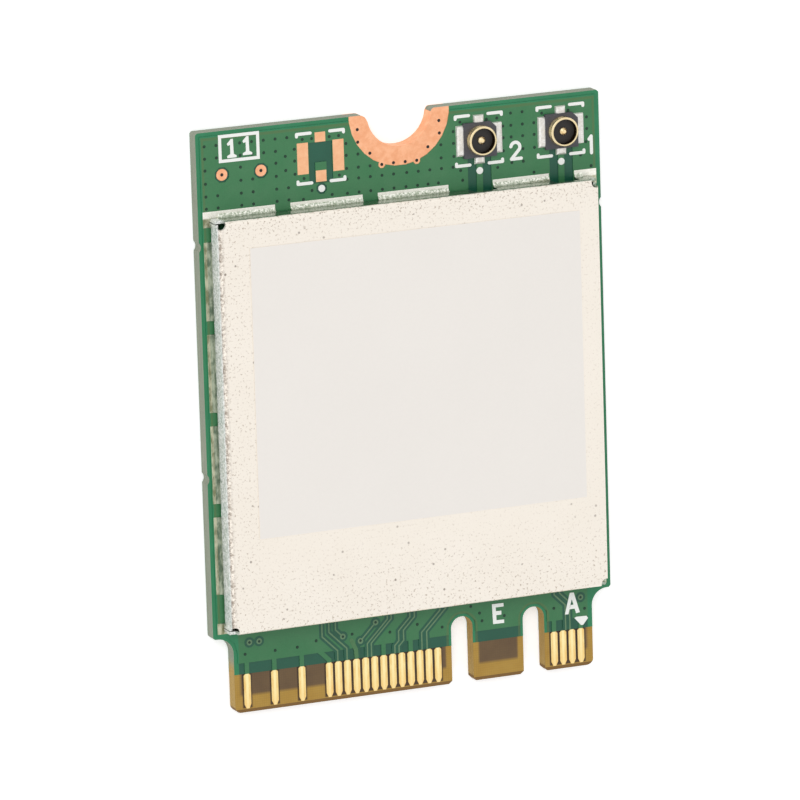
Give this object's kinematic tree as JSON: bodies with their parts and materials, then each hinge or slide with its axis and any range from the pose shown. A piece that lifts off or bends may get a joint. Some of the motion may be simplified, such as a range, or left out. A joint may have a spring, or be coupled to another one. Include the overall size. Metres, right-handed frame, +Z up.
{
  "type": "laptop wifi card",
  "caption": "Laptop wifi card: keyed green board with gold edge contacts, half-round screw notch, folded metal shield with a blank label, and coaxial antenna ports.",
  "frame": {"origin": "middle of the back face, which the card lies on", "axes": "+X along the contact edge towards contact 1, +Y from the contact edge to the screw notch, +Z up out of the shielded face"},
  "size_m": [0.022, 0.03, 0.002],
  "materials": {
    "laminate": "satin",
    "copper": "satin",
    "solder_mask": "gloss",
    "contact_gold": "gloss",
    "bare_copper": "satin",
    "tin": "satin",
    "solder": "gloss",
    "label_paper": "matte",
    "ink": "matte",
    "port_gold": "gloss",
    "port_plastic": "matte",
    "chip_black": "matte",
    "ceramic": "matte",
    "ferrite": "matte"
  },
  "bodies": {
    "root": {"board_laminate": "laminate", "front_copper_foil": "copper", "back_copper_foil": "copper", "front_solder_mask": "solder_mask", "back_solder_mask": "solder_mask", "front_edge_contacts": "contact_gold", "back_edge_contacts": "contact_gold", "screw_notch_plating": "bare_copper", "shield_pads": "solder", "shield_solder": "solder", "shield_can": "tin", "blank_label": "label_paper", "port_1_shell": "port_gold", "port_1_insulator": "port_plastic", "port_1_pin": "port_gold", "port_2_shell": "port_gold", "port_2_insulator": "port_plastic", "port_2_pin": "port_gold", "port_solder": "solder", "antenna_port_pads": "bare_copper", "test_pads": "bare_copper", "silkscreen_marks": "ink", "radio_chip": "chip_black", "radio_chip_terminals": "solder", "front_end_module_1": "chip_black", "front_end_module_2": "chip_black", "band_filters": "ceramic", "reference_crystal": "tin", "power_inductors": "ferrite", "memory_chip": "chip_black", "ceramic_capacitors": "ceramic", "capacitor_end_caps": "tin", "chip_resistors": "chip_black"}
  },
  "joints": []
}
